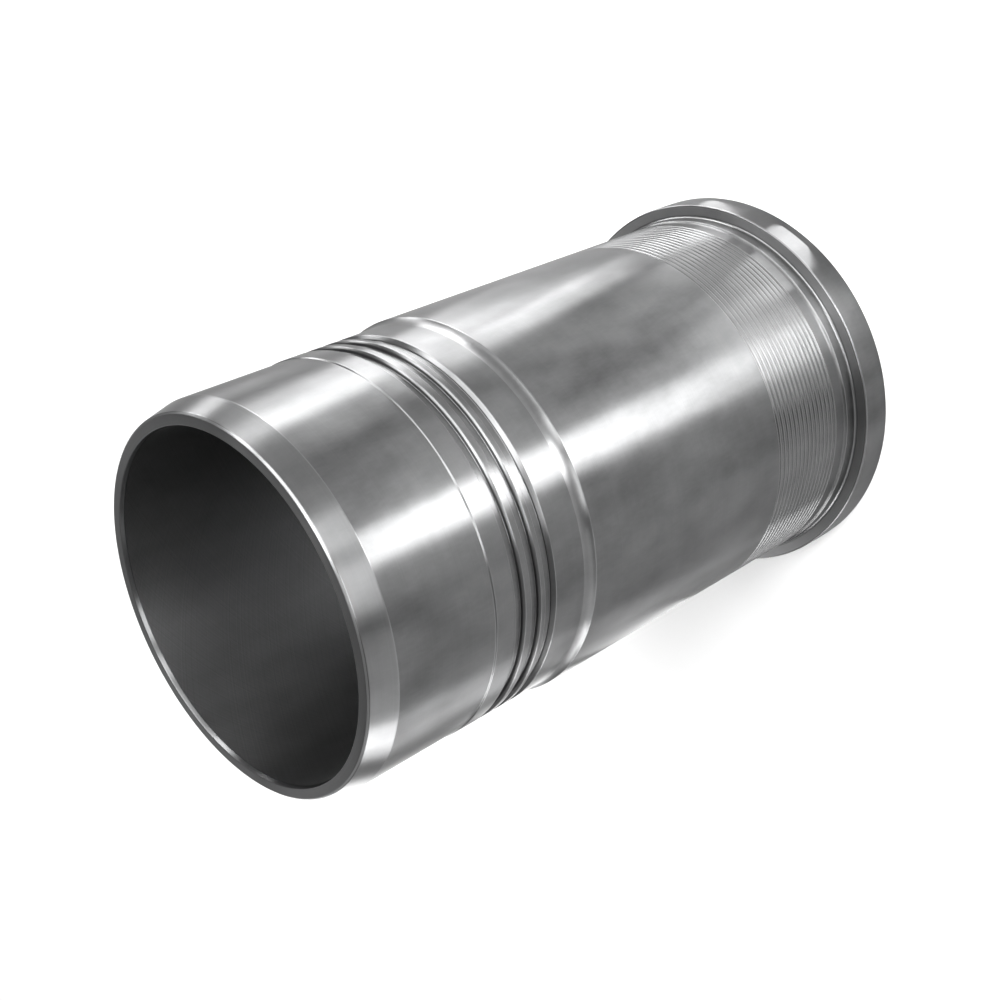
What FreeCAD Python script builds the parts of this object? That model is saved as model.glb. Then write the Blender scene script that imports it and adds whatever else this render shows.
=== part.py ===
import FreeCAD, Part
import math
import os

# Wet cylinder liner for a heavy diesel engine, turned from one iron casting. Sizes are in millimetres.
# It stands on its flange: z = 0 is the flange's end face, the bore runs along Z, and the end that enters
# the crankcase points up. Radial steps are counted from the body, lengths follow each other upward.

# Bore and wall
BORE_DIAMETER = 137.0
BODY_WALL = 10.0
MOUTH_CHAMFER = 1.0
LEAD_IN_STEP = 0.55
LEAD_IN_LENGTH = 1.7

# Flange and the fitted land under it
FLANGE_OVERHANG = 6.3
FLANGE_THICKNESS = 15.2
FLANGE_EDGE_BREAK = 0.5
FLANGE_ROOT_BEVEL = 1.2
REGISTER_STEP = 0.5
REGISTER_LENGTH = 5.8
REGISTER_RAMP = 1.5

# Relieved neck and the band of turned rings
NECK_DEPTH = 0.5
NECK_LENGTH = 5.2
RING_BAND_MARGIN = 0.55
RING_COUNT = 15
RING_PITCH = 2.743
RING_DEPTH = 0.65
RING_ANGLE = 90.0

# Body and its shoulder
BODY_LENGTH = 110.5
SHOULDER_STEP = 1.65
SHOULDER_LENGTH = 4.9

# Seal grooves and the lands between them
COLLAR_LENGTH = 14.75
SEAL_GROOVE_WIDTH = 4.15
SEAL_GROOVE_DEPTH = 1.9
SEAL_EDGE_BREAK = 0.8
FIRST_SEAL_EDGE_BREAK = 1.4
FIRST_SEAL_LAND = 2.15
SECOND_SEAL_LAND = 2.95
LAST_SEAL_LAND = 9.15

# Pilot, lead-in taper and rim
PILOT_STEP = 0.45
PILOT_LENGTH = 44.85
TAPER_STEP = 2.6
TAPER_LENGTH = 10.5
RIM_BEVEL = 0.9


class Outline:
    """The liner's half section, drawn as a chain of lines and arcs from one point to the next."""

    def __init__(self, radius, height):
        self.start = FreeCAD.Vector(radius, 0, height)
        self.here = self.start
        self.edges = []

    def line(self, out=0.0, up=0.0):
        """Draw a straight line that goes outward and upward by the given amounts."""
        end = self.here + FreeCAD.Vector(out, 0, up)
        self.edges.append(Part.LineSegment(self.here, end).toShape())
        self.here = end

    def arc(self, out, up, centre_out, centre_up):
        """Draw an arc to a point, round a centre; both are counted from the point before."""
        end = self.here + FreeCAD.Vector(out, 0, up)
        centre = self.here + FreeCAD.Vector(centre_out, 0, centre_up)
        towards_middle = (self.here + end) * 0.5 - centre
        middle = centre + towards_middle.normalize() * self.here.distanceToPoint(centre)
        self.edges.append(Part.Arc(self.here, middle, end).toShape())
        self.here = end

    def closed_face(self):
        """Join the last point to the first and return the section as a flat face."""
        self.edges.append(Part.LineSegment(self.here, self.start).toShape())
        return Part.Face(Part.Wire(self.edges))


def draw_flange(outline):
    """Flange from its end face to the seat, with a bevelled root on the register."""
    bore_radius = BORE_DIAMETER / 2
    flange_radius = bore_radius + BODY_WALL + FLANGE_OVERHANG
    outline.line(out=flange_radius - bore_radius - MOUTH_CHAMFER - FLANGE_EDGE_BREAK)
    outline.line(out=FLANGE_EDGE_BREAK, up=FLANGE_EDGE_BREAK)
    outline.line(up=FLANGE_THICKNESS - 2 * FLANGE_EDGE_BREAK)
    outline.line(out=-FLANGE_EDGE_BREAK, up=FLANGE_EDGE_BREAK)
    outline.line(out=REGISTER_STEP + FLANGE_ROOT_BEVEL + FLANGE_EDGE_BREAK - FLANGE_OVERHANG)
    outline.line(out=-FLANGE_ROOT_BEVEL, up=FLANGE_ROOT_BEVEL)


def draw_register_and_neck(outline):
    """Fitted land under the flange, then the relieved neck that frees the ring band."""
    outline.line(up=REGISTER_LENGTH - FLANGE_ROOT_BEVEL)
    outline.line(out=-REGISTER_STEP - NECK_DEPTH, up=REGISTER_RAMP)
    outline.line(up=NECK_LENGTH)
    outline.line(out=NECK_DEPTH, up=NECK_DEPTH)
    outline.line(up=RING_BAND_MARGIN)


def draw_ring_band(outline):
    """Evenly pitched V grooves that leave a row of flat-topped rings."""
    half_width = RING_DEPTH * math.tan(math.radians(RING_ANGLE / 2))
    for ring in range(RING_COUNT):
        outline.line(out=-RING_DEPTH, up=half_width)
        outline.line(out=RING_DEPTH, up=half_width)
        outline.line(up=RING_PITCH - 2 * half_width)


def draw_body(outline):
    """Plain body that the coolant washes."""
    outline.line(up=BODY_LENGTH)


def draw_shoulder(outline):
    """Hollow arc down to the seal lands: it leaves the body at a crisp edge and ends along the axis."""
    hollow_radius = (SHOULDER_STEP ** 2 + SHOULDER_LENGTH ** 2) / (2 * SHOULDER_STEP)
    outline.arc(-SHOULDER_STEP, SHOULDER_LENGTH, hollow_radius - SHOULDER_STEP, SHOULDER_LENGTH)


def draw_seal_groove(outline, edge_break):
    """Flat-bottomed seal groove, with its edge on the flange's side broken."""
    outline.line(out=-edge_break, up=edge_break)
    outline.line(out=edge_break - SEAL_GROOVE_DEPTH)
    outline.line(up=SEAL_GROOVE_WIDTH)
    outline.line(out=SEAL_GROOVE_DEPTH)


def draw_seal_zone(outline):
    """Collar, three seal grooves and the lands that part them."""
    outline.line(up=COLLAR_LENGTH)
    draw_seal_groove(outline, FIRST_SEAL_EDGE_BREAK)
    outline.line(up=FIRST_SEAL_LAND)
    draw_seal_groove(outline, SEAL_EDGE_BREAK)
    outline.line(up=SECOND_SEAL_LAND)
    draw_seal_groove(outline, SEAL_EDGE_BREAK)
    outline.line(up=LAST_SEAL_LAND)


def draw_crankcase_end(outline):
    """Pilot, lead-in taper, bevelled rim and the tapered mouth of the bore."""
    outline.line(out=-PILOT_STEP, up=PILOT_STEP)
    outline.line(up=PILOT_LENGTH)
    outline.line(out=-TAPER_STEP, up=TAPER_LENGTH)
    outline.line(out=-RIM_BEVEL, up=RIM_BEVEL)
    mouth_radius = BORE_DIAMETER / 2 + LEAD_IN_STEP
    outline.line(out=mouth_radius - outline.here.x)
    outline.line(out=-LEAD_IN_STEP, up=-LEAD_IN_LENGTH)


def draw_bore(outline):
    """Bore wall back down to the chamfered mouth in the flange."""
    outline.line(up=MOUTH_CHAMFER - outline.here.z)


def make_cylinder_liner():
    """Turn the half section round the bore's axis."""
    outline = Outline(BORE_DIAMETER / 2 + MOUTH_CHAMFER, 0)
    draw_flange(outline)
    draw_register_and_neck(outline)
    draw_ring_band(outline)
    draw_body(outline)
    draw_shoulder(outline)
    draw_seal_zone(outline)
    draw_crankcase_end(outline)
    draw_bore(outline)
    section = outline.closed_face()
    return section.revolve(FreeCAD.Vector(0, 0, 0), FreeCAD.Vector(0, 0, 1), 360)


os.makedirs("parts", exist_ok=True)
make_cylinder_liner().exportStep("parts/cylinder_liner.step")
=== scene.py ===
import logging
import math
from dataclasses import dataclass, field
from enum import Enum

import bpy
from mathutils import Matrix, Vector


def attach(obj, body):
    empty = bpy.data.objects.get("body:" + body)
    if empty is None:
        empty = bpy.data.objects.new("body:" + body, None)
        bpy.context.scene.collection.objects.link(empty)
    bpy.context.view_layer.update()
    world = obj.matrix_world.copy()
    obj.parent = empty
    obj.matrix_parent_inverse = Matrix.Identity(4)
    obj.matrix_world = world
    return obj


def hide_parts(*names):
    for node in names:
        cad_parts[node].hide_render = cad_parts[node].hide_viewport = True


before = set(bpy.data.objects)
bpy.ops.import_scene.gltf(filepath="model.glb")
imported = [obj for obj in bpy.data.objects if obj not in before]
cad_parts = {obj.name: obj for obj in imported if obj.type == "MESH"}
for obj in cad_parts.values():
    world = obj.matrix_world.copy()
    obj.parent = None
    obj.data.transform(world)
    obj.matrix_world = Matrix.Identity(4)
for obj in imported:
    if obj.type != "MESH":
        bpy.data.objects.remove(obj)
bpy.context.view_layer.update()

MM = 0.001
LINER_NODE = "cylinder_liner"

# Mesh: strips round the axis, then lengths in millimetres and angles in degrees
SEGMENTS = 240
WELD_DISTANCE = 0.01
SHARP_ANGLE = 12.5
BEVEL_SEGMENTS = 2
NORMAL_WEIGHT = 100

# Zones: margins in millimetres, the greatest tilt of a flat face, and how far normals rise
WALL_MARGIN = 0.02
SEAT_MARGIN = 0.8
FLAT_TILT = 20.0
SLOPE_RISE = 0.02
BEVEL_RISE = 0.5

# Iron: its tint, the tint of grazing light, the turn of drawn-out reflections, and waves against marks
IRON_TINT = (0.995, 1.0, 1.01)
GRAZING_TINT = (0.6, 0.6, 0.6, 1.0)
QUARTER_TURN = 0.25
WAVE_FACTOR = 30

# Marks: shares of the parts of a pattern, lines in a metre, and the angle of the honing in degrees
DRAWN_SHARE = 0.7
GRAIN_SHARE = 0.1
GLOSS_SHARE = 0.15
FINE_SHARE = 0.6
FACE_SHARE = 0.7
LINE_ROUGHNESS = 0.6
FINE_TURNING = 1700
BROAD_TURNING = 330
HONING = 1500
HONE_ANGLE = 28.0

# Room: size of the floor in metres, and the greys of the floor and the world
FLOOR_SIZE = 20
FLOOR_GREY = (0.85, 0.85, 0.85, 1)
WORLD_GREY = (0.42, 0.42, 0.42, 1)

Number = float | bpy.types.NodeSocket

log = logging.getLogger("liner")


class Zone(Enum):
    """The surfaces of the liner with their own material, numbered as its material slots. Turned, faced and
    honed iron are finished in their own way; the edge, slope, and seat-and-rim-bevel zones are lighter
    copies of the iron whose tone paints highlights and reflected light on them.
    """

    TURNED = 0
    FACED = 1
    HONED = 2
    EDGE = 3
    GROUND = 4
    SLOPE = 5


class Lathe:
    """Cuts a round shell surface by surface: a ring of edges is extruded along a chain of lines and arcs.

    Lengths are in millimetres. Steps outward and upward are counted from the end of the surface before.
    """

    def __init__(self, name: str, radius: float, height: float) -> None:
        """Lay the first ring of edges.

        Args:
            name: Name of the piece.
            radius: Radius of the first ring.
            height: Height of the first ring over the flange's end face.
        """
        bpy.ops.object.select_all(action="DESELECT")
        bpy.ops.mesh.primitive_circle_add(
            vertices=SEGMENTS, radius=radius * MM, fill_type="NOTHING", location=(0, 0, height * MM)
        )
        self.piece = bpy.context.active_object
        self.piece.name = name
        self.radius = radius
        self.height = height
        bpy.ops.object.transform_apply(location=True, rotation=False, scale=False)
        bpy.ops.object.mode_set(mode="EDIT")
        bpy.ops.mesh.select_mode(type="EDGE")
        bpy.ops.mesh.select_all(action="SELECT")

    def line(self, out: float = 0.0, up: float = 0.0) -> None:
        """Cut a straight surface.

        Args:
            out: Step outward.
            up: Step upward.
        """
        bpy.ops.mesh.extrude_edges_move(TRANSFORM_OT_translate={"value": (0, 0, up * MM)})
        scale = (self.radius + out) / self.radius
        bpy.ops.transform.resize(value=(scale, scale, 1.0), center_override=(0, 0, 0))
        self.radius += out
        self.height += up

    def arc(self, out: float, up: float, centre_out: float, centre_up: float, steps: int) -> None:
        """Cut a round surface along an arc of less than half a turn.

        Args:
            out: Step outward to the arc's end.
            up: Step upward to the arc's end.
            centre_out: Step outward to the arc's centre.
            centre_up: Step upward to the arc's centre.
            steps: Number of strips along the arc.
        """
        size = math.hypot(centre_out, centre_up)
        first = math.atan2(-centre_up, -centre_out)
        last = math.atan2(up - centre_up, out - centre_out)
        turn = (last - first + math.pi) % math.tau - math.pi
        here = (0.0, 0.0)
        for step in range(1, steps + 1):
            angle = first + turn * step / steps
            there = (centre_out + size * math.cos(angle), centre_up + size * math.sin(angle))
            self.line(there[0] - here[0], there[1] - here[1])
            here = there

    def close(self, edge_break: float) -> bpy.types.Object:
        """Join the last ring to the first, break the sharp edges and smooth the surface.

        Args:
            edge_break: Width of the small bevel along each sharp edge.

        Returns:
            The finished piece.
        """
        bpy.ops.mesh.select_all(action="SELECT")
        bpy.ops.mesh.remove_doubles(threshold=WELD_DISTANCE * MM)
        bpy.ops.mesh.normals_make_consistent(inside=False)
        bpy.ops.object.mode_set(mode="OBJECT")
        bevel = self.piece.modifiers.new("edge_break", "BEVEL")
        bevel.width = edge_break * MM
        bevel.segments = BEVEL_SEGMENTS
        bevel.limit_method = "ANGLE"
        bevel.angle_limit = math.radians(SHARP_ANGLE)
        bpy.ops.object.modifier_apply(modifier=bevel.name)
        bpy.ops.object.shade_smooth()
        weighted = self.piece.modifiers.new("weighted_normals", "WEIGHTED_NORMAL")
        weighted.weight = NORMAL_WEIGHT
        bpy.ops.object.modifier_apply(modifier=weighted.name)
        return self.piece


@dataclass
class Flange:
    """Flange that hangs the liner in the crankcase, with the fitted land under it."""

    radius: float = 84.8
    thickness: float = 15.2
    edge_break: float = 0.5
    root_round: float = 1.2
    register_radius: float = 79.0
    register_length: float = 5.8
    register_ramp: float = 1.5

    def cut(self, lathe: Lathe, neck_radius: float) -> None:
        """Cut from the end face to the neck.

        Args:
            lathe: The lathe, with its last ring on the end face.
            neck_radius: Radius that the ramp runs down to.
        """
        lathe.line(out=self.radius - self.edge_break - lathe.radius)
        lathe.line(out=self.edge_break, up=self.edge_break)
        lathe.line(up=self.thickness - 2 * self.edge_break)
        lathe.line(out=-self.edge_break, up=self.edge_break)
        lathe.line(out=self.register_radius + self.root_round - lathe.radius)
        lathe.arc(-self.root_round, self.root_round, 0, self.root_round, steps=8)
        lathe.line(up=self.register_length - self.root_round)
        depth = self.register_radius - neck_radius
        sweep = (depth**2 + self.register_ramp**2) / (2 * depth)
        lathe.arc(-depth, self.register_ramp, sweep - depth, self.register_ramp, steps=7)


@dataclass
class RingBand:
    """Relieved neck, and the evenly pitched V grooves that leave a row of flat-topped rings."""

    neck_radius: float = 78.0
    neck_length: float = 5.2
    body_radius: float = 78.5
    margin: float = 0.55
    count: int = 15
    pitch: float = 2.743
    depth: float = 0.65

    def cut(self, lathe: Lathe) -> None:
        """Cut the neck and the grooves.

        Args:
            lathe: The lathe, with its last ring at the foot of the neck.
        """
        lathe.line(up=self.neck_length)
        step = self.body_radius - self.neck_radius
        lathe.line(out=step, up=step)
        lathe.line(up=self.margin)
        for _ in range(self.count):
            lathe.line(out=-self.depth, up=self.depth)
            lathe.line(out=self.depth, up=self.depth)
            lathe.line(up=self.pitch - 2 * self.depth)


@dataclass
class Body:
    """Plain body that the coolant washes, and the hollow shoulder that leads down to the seal lands."""

    length: float = 110.5
    shoulder_length: float = 4.9

    def cut(self, lathe: Lathe, collar_radius: float) -> float:
        """Cut the body and its shoulder.

        Args:
            lathe: The lathe, with its last ring at the end of the ring band.
            collar_radius: Radius that the shoulder runs down to.

        Returns:
            The height at which the shoulder starts.
        """
        lathe.line(up=self.length)
        shoulder_height = lathe.height
        depth = lathe.radius - collar_radius
        hollow = (depth**2 + self.shoulder_length**2) / (2 * depth)
        lathe.arc(-depth, self.shoulder_length, hollow - depth, self.shoulder_length, steps=8)
        return shoulder_height


@dataclass
class SealZone:
    """Collar, and three seal grooves with one broken edge each and a land behind them."""

    radius: float = 76.85
    collar_length: float = 14.75
    groove_width: float = 4.15
    groove_depth: float = 1.9
    edge_breaks: tuple[float, ...] = (1.4, 0.8, 0.8)
    lands: tuple[float, ...] = (2.15, 2.95, 9.15)

    def cut(self, lathe: Lathe) -> None:
        """Cut the collar, then each groove with the land behind it.

        Args:
            lathe: The lathe, with its last ring at the foot of the shoulder.
        """
        lathe.line(up=self.collar_length)
        for edge_break, land in zip(self.edge_breaks, self.lands):
            lathe.line(out=-edge_break, up=edge_break)
            lathe.line(out=edge_break - self.groove_depth)
            lathe.line(up=self.groove_width)
            lathe.line(out=self.groove_depth)
            lathe.line(up=land)


@dataclass
class CrankcaseEnd:
    """Pilot, lead-in taper and bevelled rim."""

    pilot_step: float = 0.45
    pilot_length: float = 44.85
    taper_step: float = 2.6
    taper_length: float = 10.5
    rim_bevel: float = 0.9

    def cut(self, lathe: Lathe) -> float:
        """Cut from the last seal land to the rim.

        Args:
            lathe: The lathe, with its last ring at the end of the last land.

        Returns:
            The height at which the rim's bevel starts.
        """
        lathe.line(out=-self.pilot_step, up=self.pilot_step)
        lathe.line(up=self.pilot_length)
        lathe.line(out=-self.taper_step, up=self.taper_length)
        bevel_height = lathe.height
        lathe.line(out=-self.rim_bevel, up=self.rim_bevel)
        return bevel_height


@dataclass
class Bore:
    """Honed bore with its tapered mouth at the rim and the chamfer in the flange."""

    radius: float = 68.5
    mouth_chamfer: float = 1.0
    lead_in_step: float = 0.55
    lead_in_length: float = 1.7

    def cut(self, lathe: Lathe) -> None:
        """Cut the rim face, the tapered mouth and the wall, back to the first ring.

        Args:
            lathe: The lathe, with its last ring on the rim's outer edge.
        """
        lathe.line(out=self.radius + self.lead_in_step - lathe.radius)
        lathe.line(out=-self.lead_in_step, up=-self.lead_in_length)
        lathe.line(up=self.mouth_chamfer - lathe.height)
        lathe.line(out=self.mouth_chamfer, up=-self.mouth_chamfer)


@dataclass
class CylinderLiner:
    """The whole liner, turned from one casting. The last two heights are noted while it is cut."""

    edge_break: float = 0.25
    flange: Flange = field(default_factory=Flange)
    ring_band: RingBand = field(default_factory=RingBand)
    body: Body = field(default_factory=Body)
    seal_zone: SealZone = field(default_factory=SealZone)
    crankcase_end: CrankcaseEnd = field(default_factory=CrankcaseEnd)
    bore: Bore = field(default_factory=Bore)
    shoulder_height: float = field(init=False, default=0.0)
    bevel_height: float = field(init=False, default=0.0)

    def build(self) -> bpy.types.Object:
        """Turn the liner in one run round its section.

        Returns:
            The finished piece.
        """
        lathe = Lathe("turned_liner", self.bore.radius + self.bore.mouth_chamfer, 0.0)
        self.flange.cut(lathe, self.ring_band.neck_radius)
        self.ring_band.cut(lathe)
        self.shoulder_height = self.body.cut(lathe, self.seal_zone.radius)
        self.seal_zone.cut(lathe)
        self.bevel_height = self.crankcase_end.cut(lathe)
        self.bore.cut(lathe)
        piece = lathe.close(self.edge_break)
        log.info("%s: %d faces", piece.name, len(piece.data.polygons))
        return piece

    def zone_of(self, face: bpy.types.MeshPolygon) -> Zone:
        """Tell which zone a face is in, by its width, place and normal: its own finish, or a lighter copy
        of the iron whose tone paints light on it.

        Args:
            face: A face of the finished piece.

        Returns:
            The face's zone.
        """
        radius = face.center.xy.length
        height = face.center.z
        rise = face.normal.z
        strip_width = face.area / (math.tau * radius / SEGMENTS)
        # Narrow bevel strips get a lighter copy of the iron: painted highlights along the edges.
        if strip_width < self.edge_break * MM:
            return Zone.EDGE
        if radius < (self.bore.radius + WALL_MARGIN) * MM:
            return Zone.HONED
        if abs(rise) > math.cos(math.radians(FLAT_TILT)):
            # The seat under the ring band and the rim's outer bevel get the lightest copy of the iron:
            # painted light on them.
            is_seat = abs(height - self.flange.thickness * MM) < SEAT_MARGIN * MM
            return Zone.GROUND if is_seat else Zone.FACED
        # The rim's outer bevel: painted light, as on the seat.
        if rise > BEVEL_RISE and height > self.bevel_height * MM:
            return Zone.GROUND
        # Taper, shoulder, lead-in and groove bevels get a lighter copy of the iron: painted reflected
        # light on the slopes.
        if rise > SLOPE_RISE and height > self.shoulder_height * MM:
            return Zone.SLOPE
        return Zone.TURNED

    def dress(self, piece: bpy.types.Object, zone_materials: dict[Zone, bpy.types.Material]) -> None:
        """Give each face the material of its zone.

        Args:
            piece: The finished piece.
            zone_materials: The material of each zone.
        """
        for zone in Zone:
            piece.data.materials.append(zone_materials[zone])
        for face in piece.data.polygons:
            face.material_index = self.zone_of(face).value


class Effect:
    """A shader node group that more than one finish uses: its nodes and the sockets that it shows."""

    def __init__(self, name: str, inputs: dict[str, float], outputs: tuple[str, ...]) -> None:
        """Make the empty group.

        Args:
            name: Name of the effect.
            inputs: Number inputs with the values that they start from.
            outputs: Number outputs.
        """
        self.tree = bpy.data.node_groups.new(name, "ShaderNodeTree")
        for label, value in inputs.items():
            socket = self.tree.interface.new_socket(label, in_out="INPUT", socket_type="NodeSocketFloat")
            socket.default_value = value
        for label in outputs:
            self.tree.interface.new_socket(label, in_out="OUTPUT", socket_type="NodeSocketFloat")
        self.source = self.tree.nodes.new("NodeGroupInput")
        self.result = self.tree.nodes.new("NodeGroupOutput")

    def add(self, kind: str, **settings: object) -> bpy.types.Node:
        """Add a node.

        Args:
            kind: Type of the node.
            settings: Its settings by name.

        Returns:
            The node.
        """
        node = self.tree.nodes.new(kind)
        for name, value in settings.items():
            setattr(node, name, value)
        return node

    def join(self, start: bpy.types.NodeSocket, end: bpy.types.NodeSocket) -> None:
        """Link two sockets."""
        self.tree.links.new(start, end)

    def take(self, label: str) -> bpy.types.NodeSocket:
        """Return the socket that brings an input of the group."""
        return self.source.outputs[label]

    def give(self, label: str, value: bpy.types.NodeSocket) -> None:
        """Send a value to an output of the group."""
        self.join(value, self.result.inputs[label])

    def maths(self, operation: str, first: Number, second: Number | None = None) -> bpy.types.NodeSocket:
        """Add a Math node.

        Args:
            operation: What the node does.
            first: First number, or the socket that it comes from.
            second: Second number or its socket, where the operation has one.

        Returns:
            The socket with the answer.
        """
        node = self.add("ShaderNodeMath", operation=operation)
        for socket, value in zip(node.inputs, (first, second)):
            if isinstance(value, (int, float)):
                socket.default_value = value
            elif value is not None:
                self.join(value, socket)
        return node.outputs["Value"]

    def blend(self, first: Number, second: Number, share: float) -> bpy.types.NodeSocket:
        """Add up two patterns by their shares.

        Args:
            first: The first pattern.
            second: The second pattern.
            share: Share of the first one. The second has the rest.

        Returns:
            The socket with the sum.
        """
        return self.maths(
            "ADD", self.maths("MULTIPLY", first, share), self.maths("MULTIPLY", second, 1 - share)
        )

    def swing(self, pattern: Number, strength: Number) -> bpy.types.NodeSocket:
        """Make a swing round 0 out of a pattern from 0 to 1.

        Args:
            pattern: The pattern.
            strength: How wide the swing is.

        Returns:
            The socket with the swing.
        """
        return self.maths("MULTIPLY", self.maths("SUBTRACT", pattern, 0.5), strength)

    def place(self, stretch: tuple[float, float, float] = (1.0, 1.0, 1.0)) -> bpy.types.NodeSocket:
        """Give the place on the object, scaled along each axis.

        Args:
            stretch: Factor along X, Y and Z.

        Returns:
            The socket with the scaled place.
        """
        coordinates = self.add("ShaderNodeTexCoord")
        mapping = self.add("ShaderNodeMapping")
        mapping.inputs["Scale"].default_value = stretch
        self.join(coordinates.outputs["Object"], mapping.inputs["Vector"])
        return mapping.outputs["Vector"]

    def axes(self) -> tuple[bpy.types.NodeSocket, ...]:
        """Give the place on the object as three numbers.

        Returns:
            The sockets with the distances along X, Y and Z.
        """
        split = self.add("ShaderNodeSeparateXYZ")
        self.join(self.place(), split.inputs["Vector"])
        return split.outputs["X"], split.outputs["Y"], split.outputs["Z"]

    def noise(
        self, spot: bpy.types.NodeSocket, scale: float, detail: float, roughness: float
    ) -> bpy.types.NodeSocket:
        """Add soft noise.

        Args:
            spot: Socket with the place on the object.
            scale: Number of blots in a metre.
            detail: Number of finer layers.
            roughness: Share of the finer layers.

        Returns:
            The socket with the noise, from 0 to 1.
        """
        node = self.add("ShaderNodeTexNoise")
        node.inputs["Scale"].default_value = scale
        node.inputs["Detail"].default_value = detail
        node.inputs["Roughness"].default_value = roughness
        self.join(spot, node.inputs["Vector"])
        return node.outputs["Fac"]

    def lines(self, along: bpy.types.NodeSocket, density: float) -> bpy.types.NodeSocket:
        """Add uneven parallel lines.

        Args:
            along: Socket with the distance across the lines.
            density: Number of lines in a metre.

        Returns:
            The socket with the lines, from 0 to 1.
        """
        node = self.add("ShaderNodeTexNoise", noise_dimensions="1D")
        node.inputs["Scale"].default_value = density
        node.inputs["Detail"].default_value = 2
        node.inputs["Roughness"].default_value = LINE_ROUGHNESS
        self.join(along, node.inputs["W"])
        return node.outputs["Fac"]


def make_cloudy_metal() -> bpy.types.NodeTree:
    """Make the effect of metal that was handled and wiped: soft clouds drawn out along the bore's axis.

    Returns:
        The node group, with a tone factor, a roughness shift and a height.
    """
    effect = Effect("cloudy_metal", {"Contrast": 0.2}, ("Tone", "Gloss", "Height"))
    drawn = effect.noise(effect.place((1.0, 1.0, 0.3)), scale=48, detail=2, roughness=0.45)
    smudges = effect.noise(effect.place((1.0, 1.0, 0.8)), scale=90, detail=3, roughness=0.5)
    grain = effect.noise(effect.place((1.0, 1.0, 0.3)), scale=900, detail=2, roughness=0.5)
    clouds = effect.maths("SUBTRACT", effect.blend(drawn, smudges, DRAWN_SHARE), 0.5)
    mottling = effect.maths("ADD", clouds, effect.swing(grain, GRAIN_SHARE))
    swing = effect.maths("MULTIPLY", mottling, effect.take("Contrast"))
    effect.give("Tone", effect.maths("ADD", effect.maths("MULTIPLY", swing, 2.0), 1.0))
    effect.give("Gloss", effect.maths("MULTIPLY", swing, GLOSS_SHARE))
    effect.give("Height", drawn)
    return effect.tree


def make_turning_marks() -> bpy.types.NodeTree:
    """Make the effect of a turned surface: uneven rings left by the tool, round the wall or on a face.

    Returns:
        The node group, with a tone factor and a height.
    """
    effect = Effect("turning_marks", {"Depth": 0.1}, ("Tone", "Height"))
    across, beside, along = effect.axes()
    squares = effect.maths("ADD", effect.maths("POWER", across, 2.0), effect.maths("POWER", beside, 2.0))
    radius = effect.maths("SQRT", squares)
    feed = effect.maths("ADD", along, effect.maths("MULTIPLY", radius, FACE_SHARE))
    fine = effect.lines(feed, FINE_TURNING)
    broad = effect.lines(feed, BROAD_TURNING)
    marks = effect.blend(fine, broad, FINE_SHARE)
    effect.give("Tone", effect.maths("ADD", effect.swing(marks, effect.take("Depth")), 1.0))
    effect.give("Height", marks)
    return effect.tree


def make_hone_marks() -> bpy.types.NodeTree:
    """Make the effect of a honed bore: two families of fine scratches that cross on the wall.

    Returns:
        The node group, with a tone factor and a height.
    """
    effect = Effect("hone_marks", {"Depth": 0.3}, ("Tone", "Height"))
    across, beside, along = effect.axes()
    bearing = effect.maths("ARCTAN2", beside, across)
    lead = Bore.radius * MM * math.tan(math.radians(HONE_ANGLE))
    around = effect.maths("MULTIPLY", bearing, lead)
    rising = effect.lines(effect.maths("ADD", along, around), HONING)
    falling = effect.lines(effect.maths("SUBTRACT", along, around), HONING)
    marks = effect.maths("MULTIPLY", effect.maths("ADD", rising, falling), 0.5)
    swing = effect.swing(marks, effect.take("Depth"))
    effect.give("Tone", effect.maths("ADD", effect.maths("MULTIPLY", swing, 2.0), 1.0))
    effect.give("Height", marks)
    return effect.tree


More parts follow.
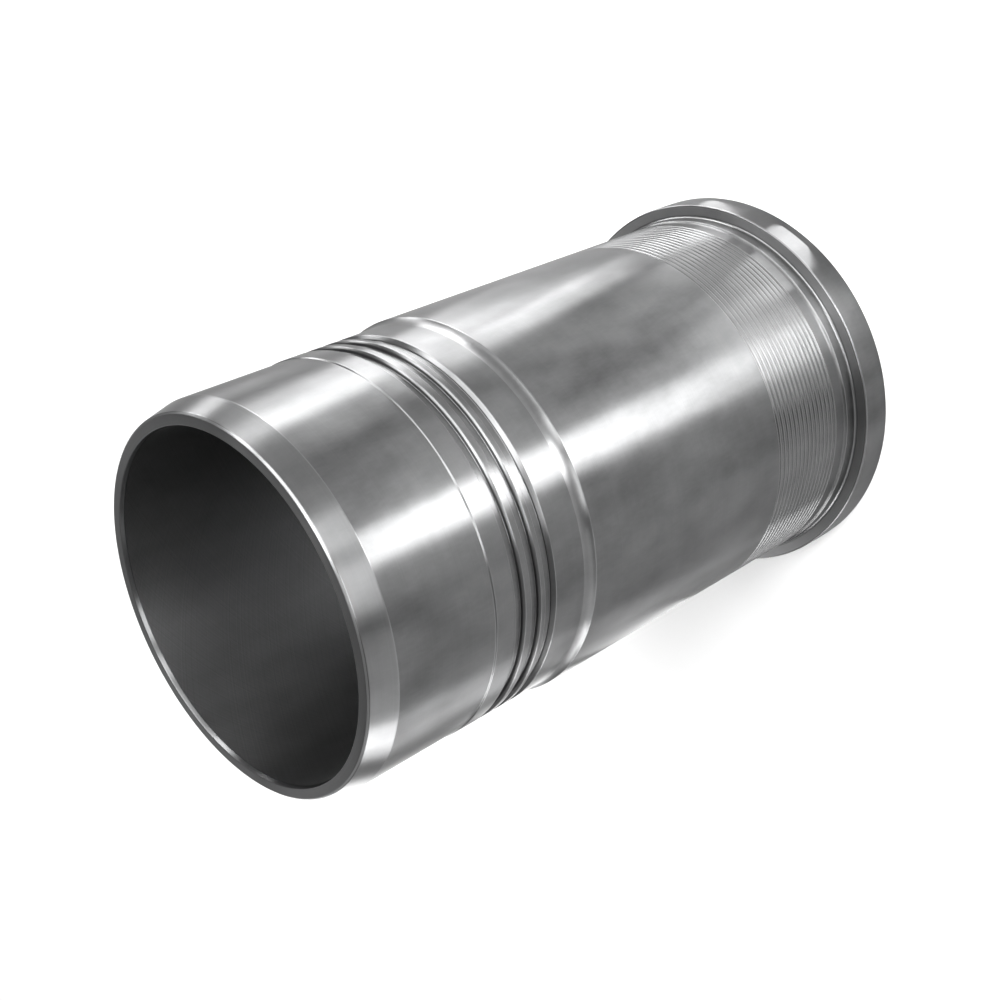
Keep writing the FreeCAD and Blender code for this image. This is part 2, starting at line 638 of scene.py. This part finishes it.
@dataclass(frozen=True)
class Machined:
    """Machined grey iron.

    Args:
        name: Name of the material.
        tone: How light the metal is.
        roughness: How wide it spreads a reflection.
        drawn_out: How far the tool's marks draw a reflection out along the bore's axis.
        clouds: Contrast of the clouds.
        marks: Contrast of the tool's marks.
        relief: Depth of the tool's marks in metres.
    """

    name: str
    tone: float
    roughness: float
    drawn_out: float
    clouds: float
    marks: float
    relief: float

    def build(self, cloudy: bpy.types.NodeTree, tool_marks: bpy.types.NodeTree) -> bpy.types.Material:
        """Make the material.

        Args:
            cloudy: The effect of clouds.
            tool_marks: The effect of the tool that cut the surface last.

        Returns:
            The material.
        """
        material = bpy.data.materials.new(self.name)
        material.use_nodes = True
        nodes = material.node_tree.nodes
        links = material.node_tree.links
        shader = nodes["Principled BSDF"]
        shader.inputs["Metallic"].default_value = 1
        shader.inputs["Specular Tint"].default_value = GRAZING_TINT
        shader.inputs["Anisotropic"].default_value = self.drawn_out
        shader.inputs["Anisotropic Rotation"].default_value = QUARTER_TURN
        tangent = nodes.new("ShaderNodeTangent")
        tangent.direction_type = "RADIAL"
        tangent.axis = "Z"
        links.new(tangent.outputs["Tangent"], shader.inputs["Tangent"])

        clouds = nodes.new("ShaderNodeGroup")
        clouds.node_tree = cloudy
        clouds.inputs["Contrast"].default_value = self.clouds
        marks = nodes.new("ShaderNodeGroup")
        marks.node_tree = tool_marks
        marks.inputs["Depth"].default_value = self.marks

        shade = nodes.new("ShaderNodeMath")
        shade.operation = "MULTIPLY"
        links.new(clouds.outputs["Tone"], shade.inputs[0])
        links.new(marks.outputs["Tone"], shade.inputs[1])
        colour = nodes.new("ShaderNodeVectorMath")
        colour.operation = "SCALE"
        colour.inputs[0].default_value = [self.tone * part for part in IRON_TINT]
        links.new(shade.outputs["Value"], colour.inputs["Scale"])
        links.new(colour.outputs["Vector"], shader.inputs["Base Color"])

        gloss = nodes.new("ShaderNodeMath")
        gloss.inputs[1].default_value = self.roughness
        links.new(clouds.outputs["Gloss"], gloss.inputs[0])
        links.new(gloss.outputs["Value"], shader.inputs["Roughness"])

        waves = nodes.new("ShaderNodeBump")
        waves.inputs["Distance"].default_value = self.relief * WAVE_FACTOR
        links.new(clouds.outputs["Height"], waves.inputs["Height"])
        scratches = nodes.new("ShaderNodeBump")
        scratches.inputs["Distance"].default_value = self.relief
        links.new(marks.outputs["Height"], scratches.inputs["Height"])
        links.new(waves.outputs["Normal"], scratches.inputs["Normal"])
        links.new(scratches.outputs["Normal"], shader.inputs["Normal"])
        return material


# Name, tone, roughness and how far reflections are drawn out, then the clouds, the marks and their depth
FINISHES_AND_PAINTED_LIGHT = {
    Zone.TURNED: Machined("turned_iron", 0.093, 0.32, 0.92, clouds=0.85, marks=0.14, relief=1.5e-6),
    Zone.FACED: Machined("faced_iron", 0.12, 0.32, 0.92, clouds=0.3, marks=0.2, relief=1.5e-6),
    Zone.HONED: Machined("honed_iron", 0.22, 0.34, 0.3, clouds=0.25, marks=0.25, relief=2e-6),
    # Painted highlight: the bevel strips along the edges get lighter iron
    Zone.EDGE: Machined("edge_iron", 0.13, 0.3, 0.7, clouds=0.2, marks=0.1, relief=2e-6),
    # Painted light: the seat and the rim's outer bevel get the lightest iron
    Zone.GROUND: Machined("painted_light_iron", 0.26, 0.34, 0.8, clouds=0.2, marks=0.1, relief=2e-6),
    # Painted reflected light: the taper, shoulder and groove bevels get lighter iron
    Zone.SLOPE: Machined("slope_iron", 0.122, 0.31, 0.8, clouds=0.5, marks=0.14, relief=1.5e-6),
}


def make_zone_materials() -> dict[Zone, bpy.types.Material]:
    """Make the effects, and with them the material of each zone.

    Returns:
        The material of each zone.
    """
    cloudy = make_cloudy_metal()
    turning = make_turning_marks()
    honing = make_hone_marks()
    materials = {}
    for zone, finish in FINISHES_AND_PAINTED_LIGHT.items():
        materials[zone] = finish.build(cloudy, honing if zone is Zone.HONED else turning)
        log.info("%s: %s", zone.name, finish.name)
    return materials


@dataclass(frozen=True)
class PhotoCamera:
    """The camera at the photograph's place, rolled so that the liner lies across the picture.

    Args:
        location: Its place in metres.
        turn: Its rotation in degrees.
        lens: Focal length in millimetres.
        sensor: Width of the sensor in millimetres.
        near: Nearest distance that it sees, in metres.
    """

    location: tuple[float, float, float] = (-0.0054111, -0.5000005, 0.5537433)
    turn: tuple[float, float, float] = (-28.3248, 44.8844, -127.3729)
    lens: float = 56.741
    sensor: float = 36.0
    near: float = 0.01

    def place(self) -> None:
        """Make the camera and look through it."""
        data = bpy.data.cameras.new("photo_camera")
        data.lens = self.lens
        data.sensor_width = self.sensor
        data.clip_start = self.near
        camera = bpy.data.objects.new("photo_camera", data)
        bpy.context.scene.collection.objects.link(camera)
        camera.location = self.location
        camera.rotation_euler = [math.radians(angle) for angle in self.turn]
        bpy.context.scene.camera = camera


@dataclass(frozen=True)
class Softbox:
    """A soft light with a flat face, set up round the liner.

    Args:
        name: Name of the light.
        bearing: Direction from the axis in degrees, from the camera's side at -Y towards -X.
        reach: Distance from the axis in metres.
        height: Height over the floor in metres.
        width: Width of its face in metres.
        length: Length of its face in metres.
        glow: How bright its face is.
        aim_height: Height of the point on the axis that it faces, in metres.
        rounded: Whether its face is an ellipse.
    """

    name: str
    bearing: float
    reach: float
    height: float
    width: float
    length: float
    glow: float
    aim_height: float = 0.15
    rounded: bool = False

    def place(self) -> None:
        """Set the light up and turn it to its aim on the liner's axis."""
        side = math.radians(self.bearing)
        place = Vector((-math.sin(side) * self.reach, -math.cos(side) * self.reach, self.height))
        data = bpy.data.lights.new(self.name, "AREA")
        data.shape = "ELLIPSE" if self.rounded else "RECTANGLE"
        data.size = self.width
        data.size_y = self.length
        area = self.width * self.length * (math.pi / 4 if self.rounded else 1.0)
        data.energy = self.glow * math.pi * area
        light = bpy.data.objects.new(self.name, data)
        bpy.context.scene.collection.objects.link(light)
        light.location = place
        light.rotation_euler = (place - Vector((0, 0, self.aim_height))).to_track_quat("Z", "Y").to_euler()
        light.visible_camera = False


# Name, bearing, reach, height, width, length and glow, then the aim
LIGHTS = (
    Softbox("front_low", 0, 0.45, 0.045, 0.13, 0.085, 25.5, aim_height=0.045),
    Softbox("front_floor_near", 0, 0.215, 0.008, 0.06, 0.12, 7, aim_height=5),
    Softbox("front_floor_far", 2, 0.37, 0.012, 0.11, 0.19, 17.5, aim_height=6),
    Softbox("front_tall", 16, 0.45, 0.40, 0.18, 0.21, 10, aim_height=0.3),
    Softbox("front_tall_left", -13, 0.45, 0.40, 0.13, 0.30, 8.2, aim_height=0.3),
    Softbox("front_right", 62, 0.45, 0.19, 0.42, 0.12, 2.1, aim_height=0.21),
    Softbox("side_low", -97, 0.45, 0.055, 0.13, 0.10, 8.8, aim_height=0.055),
    Softbox("side_low_front", -82, 0.45, 0.055, 0.12, 0.10, 21, aim_height=0.055),
    Softbox("side_floor", -93, 0.37, 0.012, 0.17, 0.19, 10, aim_height=6),
    Softbox("side_floor_front", -76, 0.235, 0.008, 0.055, 0.1, 15.5, aim_height=5),
    Softbox("side_tall", -77, 0.45, 0.42, 0.13, 0.22, 14, aim_height=0.35),
    Softbox("top_side", -48, 1.0, 0.92, 0.8, 0.55, 10),
    Softbox("top_front", -20, 0.8, 1.29, 0.5, 0.46, 13.5),
    Softbox("right_soft", 78, 0.9, 0.3, 0.25, 0.5, 0.7),
    Softbox("back_right", 97, 0.8, 0.17, 0.20, 0.24, 16, aim_height=0.16),
    Softbox("right_low", 109, 0.72, 0.04, 0.14, 0.12, 14, aim_height=0.28),
    Softbox("back_left", -113, 0.9, 0.2, 0.18, 0.26, 18, aim_height=0.2),
    Softbox("right_floor", 104, 0.40, 0.012, 0.14, 0.15, 3, aim_height=6),
    Softbox("back_low", 146, 0.6, 0.1, 0.25, 0.2, 6, aim_height=0.1),
    Softbox("flange_front", -30, 0.098, 0.005, 0.036, 0.03, 9.3, aim_height=6, rounded=True),
    Softbox("back_floor", 141, 0.29, 0.008, 0.08, 0.11, 6, aim_height=6, rounded=True),
    Softbox("flange_side", -60, 0.098, 0.005, 0.028, 0.026, 6.5, aim_height=6, rounded=True),
    Softbox("right_floor_near", 127, 0.19, 0.006, 0.06, 0.1, 5, aim_height=6, rounded=True),
    Softbox("band_front", -13, 0.13, 0.004, 0.07, 0.045, 6.3, aim_height=6, rounded=True),
    Softbox("band_side", -50, 0.13, 0.004, 0.08, 0.045, 3.5, aim_height=6, rounded=True),
    Softbox("far_floor", 172, 1.15, 0.6, 1.6, 1.0, 1.4, aim_height=-50),
    Softbox("bore_fill", 90, 0.024, 0.004, 0.075, 0.075, 6, aim_height=5),
)


def make_floor() -> None:
    """Lay the plain pale floor that the liner stands on."""
    bpy.ops.object.select_all(action="DESELECT")
    bpy.ops.mesh.primitive_plane_add(size=FLOOR_SIZE, location=(0, 0, 0))
    floor = bpy.context.active_object
    floor.name = "floor"
    material = bpy.data.materials.new("pale_floor")
    material.use_nodes = True
    shader = material.node_tree.nodes["Principled BSDF"]
    shader.inputs["Base Color"].default_value = FLOOR_GREY
    shader.inputs["Roughness"].default_value = 0.9
    shader.inputs["Specular IOR Level"].default_value = 0.0
    floor.data.materials.append(material)


def light_room() -> None:
    """Fill the room with an even grey and set up the soft lights."""
    world = bpy.data.worlds.new("studio")
    bpy.context.scene.world = world
    world.use_nodes = True
    world.node_tree.nodes["Background"].inputs["Color"].default_value = WORLD_GREY
    for light in LIGHTS:
        light.place()


def main() -> None:
    """Build the liner, dress it, light it and set the camera."""
    logging.basicConfig(level=logging.INFO)
    bpy.context.scene.view_settings.view_transform = "Standard"
    liner = CylinderLiner()
    piece = liner.build()
    liner.dress(piece, make_zone_materials())
    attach(piece, "root")
    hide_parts(LINER_NODE)
    make_floor()
    PhotoCamera().place()
    light_room()


if __name__ == "__main__":
    main()
